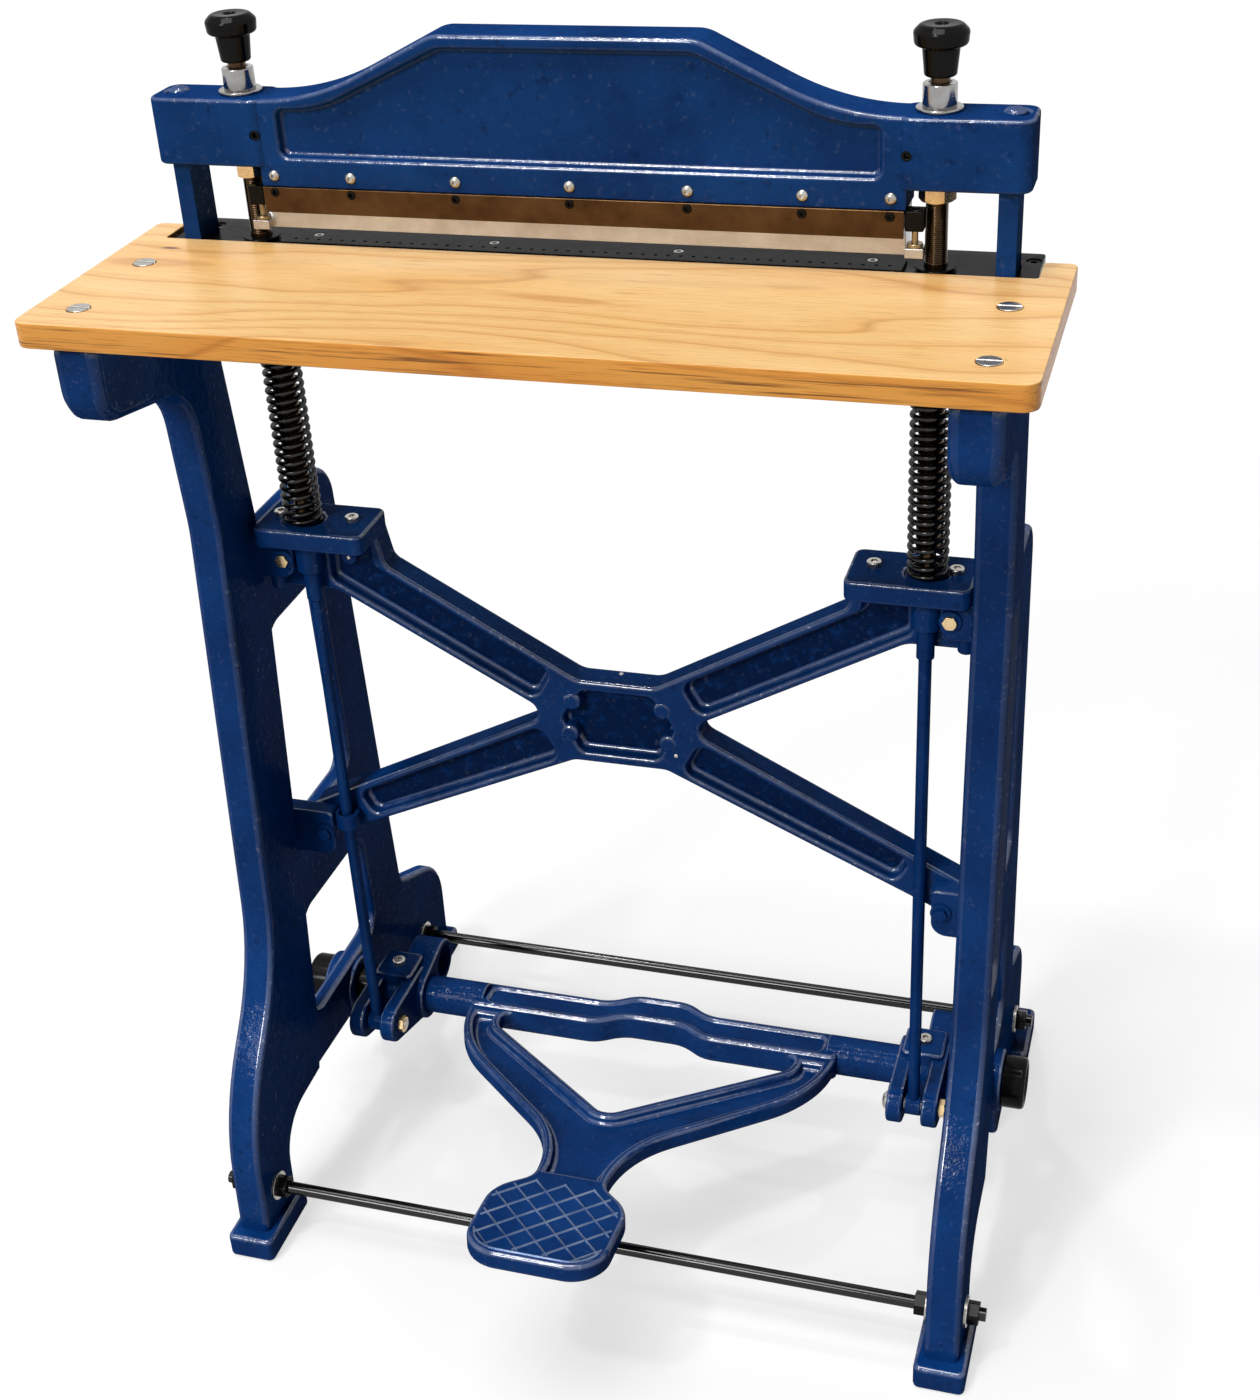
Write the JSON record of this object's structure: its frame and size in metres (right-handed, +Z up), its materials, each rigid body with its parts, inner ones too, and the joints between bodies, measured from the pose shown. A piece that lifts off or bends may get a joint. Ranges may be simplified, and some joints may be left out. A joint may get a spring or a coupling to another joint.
{
  "type": "foot-operated perforating machine",
  "caption": "Cast-iron floor-standing paper perforator: a treadle pulls two sprung rods that carry a needle head down onto a die bed with a wooden table",
  "frame": {"origin": "on the floor, under the middle of the machine's bounding box", "axes": "+X to the right of a person at the treadle, front and pedal towards -Y, +Z up"},
  "size_m": [0.75, 0.6214, 1.1289],
  "materials": {
    "blue_enamel": "glossy enamel on castings",
    "black_metal": "black, half gloss",
    "steel": "bright",
    "wood": "varnished",
    "chrome": "polished",
    "brass": "plated",
    "black_plastic": "gloss"
  },
  "bodies": {
    "stand": {"side_frame_left": "blue_enamel", "side_frame_right": "blue_enamel", "cross_brace": "blue_enamel", "brace_bolts": "steel", "brace_nuts": "steel", "bracket_screws": "steel", "rod_guide": "blue_enamel", "tie_rod_front": "black_metal", "tie_rod_rear": "black_metal", "tie_rod_nuts": "black_metal", "tie_rod_washers": "steel", "bed_casting": "black_metal", "bed_bolts": "black_metal", "die_plate": "black_metal", "die_screws": "steel", "table_board": "wood", "table_screws": "steel", "rod_bushes": "black_metal", "pivot_bushes": "brass", "return_spring_left": "black_metal", "return_spring_right": "black_metal"},
    "head": {"head_casting": "blue_enamel", "needle_block": "steel", "needle_clamp": "steel", "needle_row": "steel", "rail_screws": "steel", "clamp_screws": "black_metal", "guide_post_left": "blue_enamel", "guide_post_right": "blue_enamel", "post_bolts": "blue_enamel", "spring_rod_left": "steel", "spring_rod_right": "steel", "rod_nuts": "brass", "ferrules": "chrome", "ferrule_washers": "chrome", "spring_collars": "black_metal", "rod_couplings": "blue_enamel", "stripper_blocks": "black_metal", "lock_screws": "black_metal"},
    "stripper": {"stripper_bar": "steel", "stripper_studs": "brass"},
    "knob_left_turn": {"knob_left": "black_plastic"},
    "knob_right_turn": {"knob_right": "black_plastic"},
    "treadle": {"treadle_casting": "blue_enamel", "crank_left": "blue_enamel", "crank_right": "blue_enamel", "crank_screws": "steel", "clevis_pin_left": "steel", "clevis_pin_right": "steel", "clevis_nuts": "steel", "pivot_stub_left": "black_metal", "pivot_stub_right": "black_metal", "pivot_hubs": "black_metal"},
    "pull_link_left": {"pull_rod_left": "blue_enamel"},
    "pull_link_right": {"pull_rod_right": "blue_enamel"}
  },
  "joints": [
    {"name": "treadle_hinge", "type": "hinge", "parent": "stand", "child": "treadle", "pos_m": [0, 0.07481, 0.126], "axis": [1, 0, 0], "range_deg": [0, 18.6]},
    {"name": "head_slide", "type": "slide", "parent": "stand", "child": "head", "axis": [0, 0, -1], "range_m": [0, 0.02101], "stiffness_N_per_m": 16000, "springref_m": -0.031, "deforming": ["return_spring_left", "return_spring_right"]},
    {"name": "stripper_slide", "type": "slide", "parent": "head", "child": "stripper", "axis": [0, 0, 1], "range_m": [0, 0.00961]},
    {"name": "knob_left_spin", "type": "hinge", "parent": "head", "child": "knob_left_turn", "pos_m": [-0.273, 0.01067, 1.11], "axis": [0, 0, 1], "continuous": true},
    {"name": "pull_rod_left_pin", "type": "hinge", "parent": "treadle", "child": "pull_link_left", "pos_m": [-0.273, 0.01067, 0.1365], "axis": [1, 0, 0], "range_deg": [-18.6, 0]},
    {"name": "knob_right_spin", "type": "hinge", "parent": "head", "child": "knob_right_turn", "pos_m": [0.273, 0.01067, 1.11], "axis": [0, 0, 1], "continuous": true},
    {"name": "pull_rod_right_pin", "type": "hinge", "parent": "treadle", "child": "pull_link_right", "pos_m": [0.273, 0.01067, 0.1365], "axis": [1, 0, 0], "range_deg": [-18.6, 0]}
  ],
  "couplings": [
    {"joint": "head_slide", "follows": "treadle_hinge", "m_per_rad": 0.064715},
    {"joint": "stripper_slide", "follows": "treadle_hinge", "m_per_rad": 0.029598},
    {"joint": "pull_rod_left_pin", "follows": "treadle_hinge", "ratio": -1},
    {"joint": "pull_rod_right_pin", "follows": "treadle_hinge", "ratio": -1}
  ]
}
